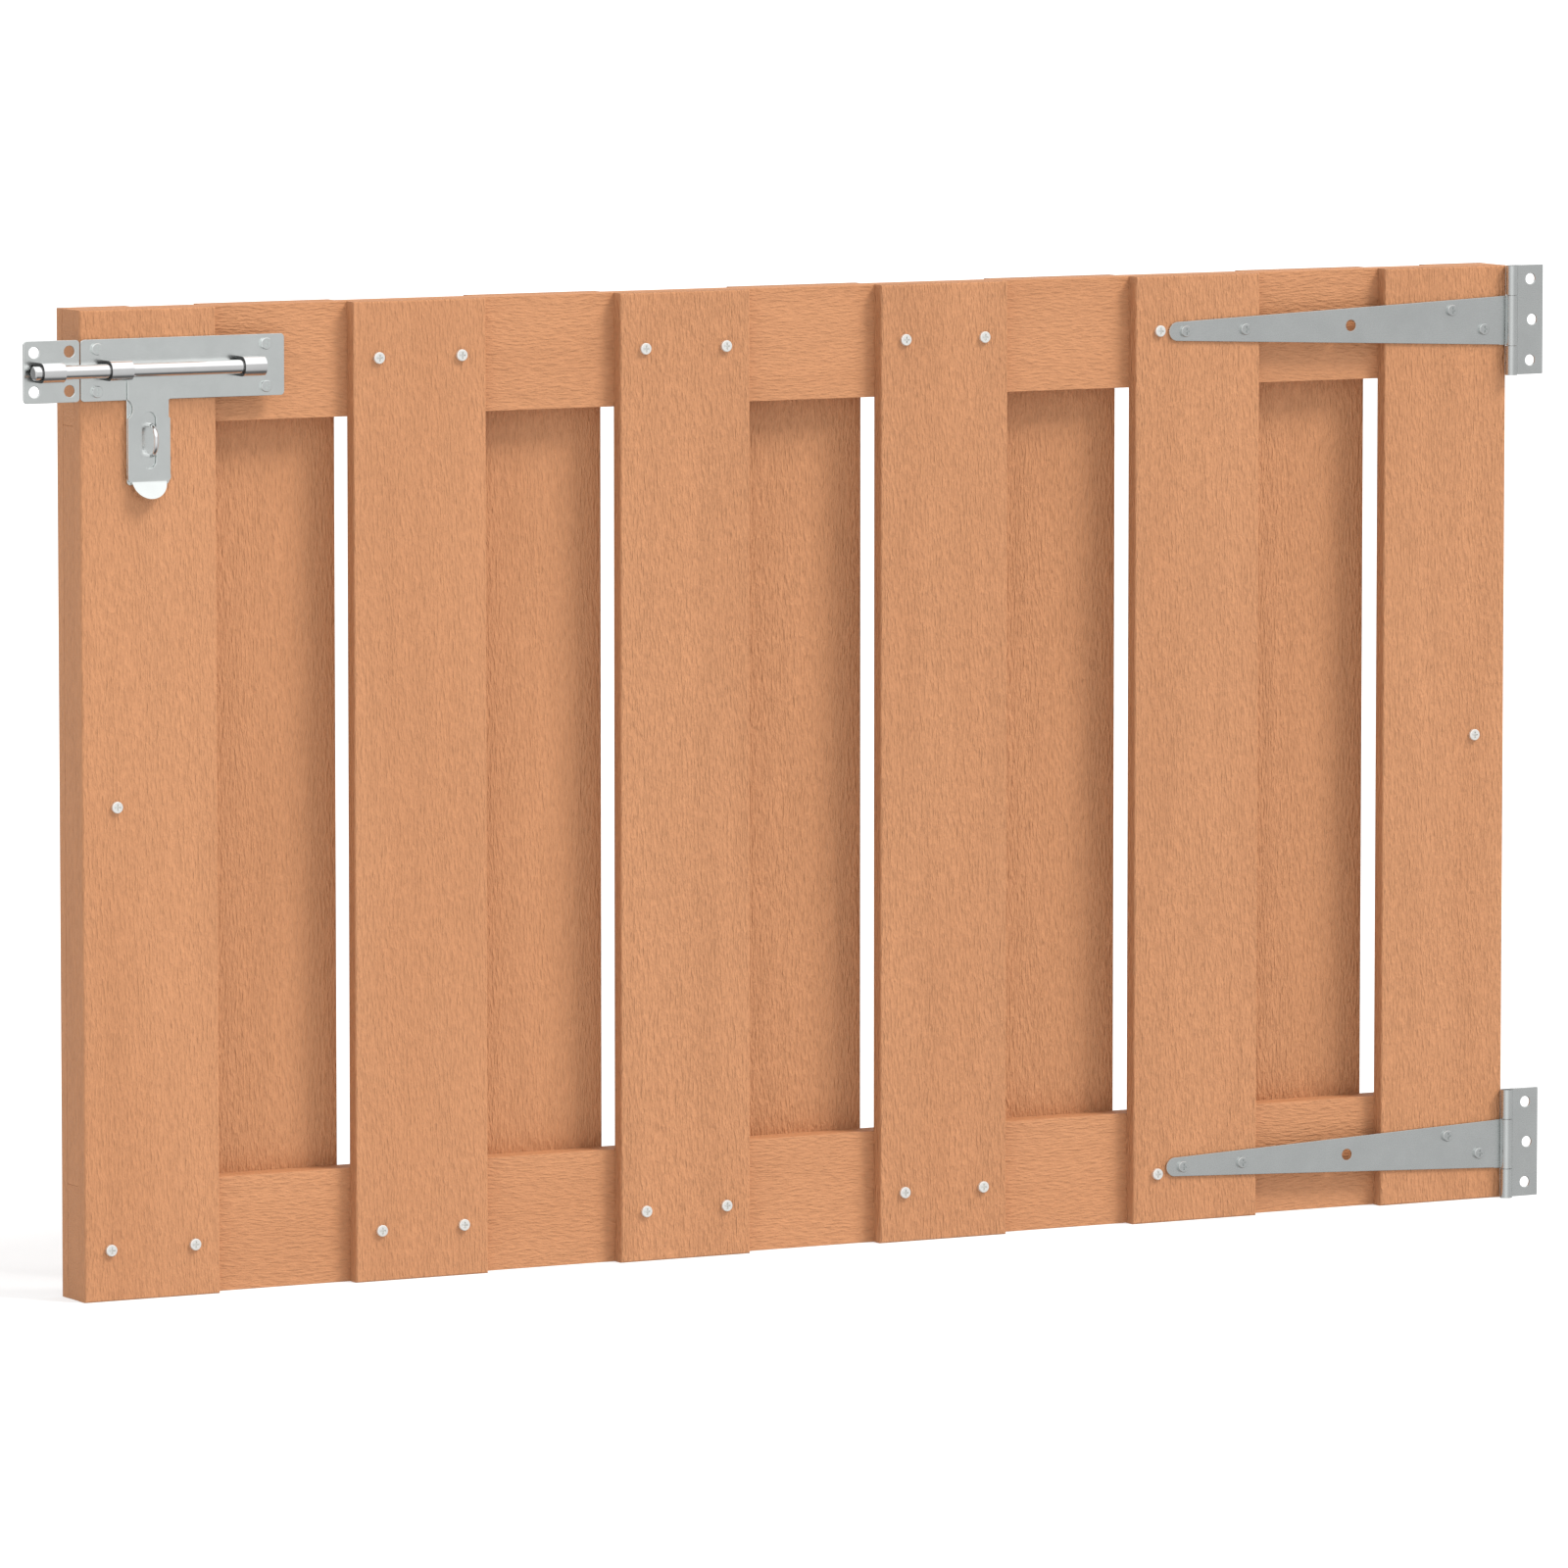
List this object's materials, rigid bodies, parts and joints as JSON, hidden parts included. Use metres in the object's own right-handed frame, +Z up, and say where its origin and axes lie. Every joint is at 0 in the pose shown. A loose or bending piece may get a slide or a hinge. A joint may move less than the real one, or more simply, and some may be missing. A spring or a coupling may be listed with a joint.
{
  "type": "garden gate",
  "caption": "Low slatted timber garden gate in two layers of boards, with T-hinges and a padlock bolt with its keeper.",
  "frame": {"origin": "middle of the gate's bottom edge: centre of the bottom rail's underside, at half the thickness of the boards", "axes": "+X along the gate towards the hinges, +Y towards the back (hinges and bolt face -Y), +Z up"},
  "size_m": [1.0643, 0.0521, 0.6],
  "materials": {
    "timber": "planed softwood, light orange-brown, matt",
    "hinge_zinc": "zinc-plated, satin",
    "plate_zinc": "zinc-plated, satin, pale",
    "bright_steel": "bright-plated, polished",
    "screw_steel": "zinc-plated"
  },
  "bodies": {
    "hinge_flanges": {"upper_hinge_flange": "hinge_zinc", "upper_hinge_pin": "bright_steel", "lower_hinge_flange": "hinge_zinc", "lower_hinge_pin": "bright_steel"},
    "gate": {"front_slat_1": "timber", "front_slat_2": "timber", "front_slat_3": "timber", "front_slat_4": "timber", "front_slat_5": "timber", "front_slat_6": "timber", "back_slat_1": "timber", "back_slat_2": "timber", "back_slat_3": "timber", "back_slat_4": "timber", "back_slat_5": "timber", "rail_bottom": "timber", "rail_top": "timber", "stile_left": "timber", "stile_right": "timber", "end_batten_left": "timber", "end_batten_right": "timber", "slat_screws": "screw_steel", "stile_screws": "screw_steel", "back_slat_screws": "screw_steel", "batten_screws": "screw_steel", "latch_screws": "screw_steel", "lower_strap_screws": "screw_steel", "upper_strap_screws": "screw_steel", "lower_hinge_strap": "hinge_zinc", "upper_hinge_strap": "hinge_zinc", "latch_base_plate": "plate_zinc", "bolt_guide_near": "bright_steel", "bolt_guide_far": "bright_steel", "padlock_staple": "bright_steel"},
    "bolt": {"bolt_rod": "bright_steel"},
    "hasp": {"hasp_plate": "plate_zinc"},
    "keeper": {"keeper_plate": "plate_zinc", "keeper_loop": "bright_steel"}
  },
  "joints": [
    {"name": "gate_swing", "type": "hinge", "parent": "hinge_flanges", "child": "gate", "pos_m": [0.5017, -0.0209, 0.3], "axis": [0, 0, 1], "range_deg": [0, 180]},
    {"name": "bolt_slide", "type": "slide", "parent": "gate", "child": "bolt", "axis": [1, 0, 0], "range_m": [0, 0.028]},
    {"name": "hasp_lift", "type": "hinge", "parent": "bolt", "child": "hasp", "pos_m": [-0.4559, -0.027, 0.564], "axis": [-1, 0, 0], "range_deg": [0, 180]},
    {"name": "keeper_off", "type": "slide", "parent": "gate", "child": "keeper", "axis": [-1, 0, 0], "range_m": [0, 0.045]}
  ],
  "couplings": [
    {"joint": "bolt_slide", "follows": "hasp_lift", "m_per_rad": 0.0089}
  ]
}
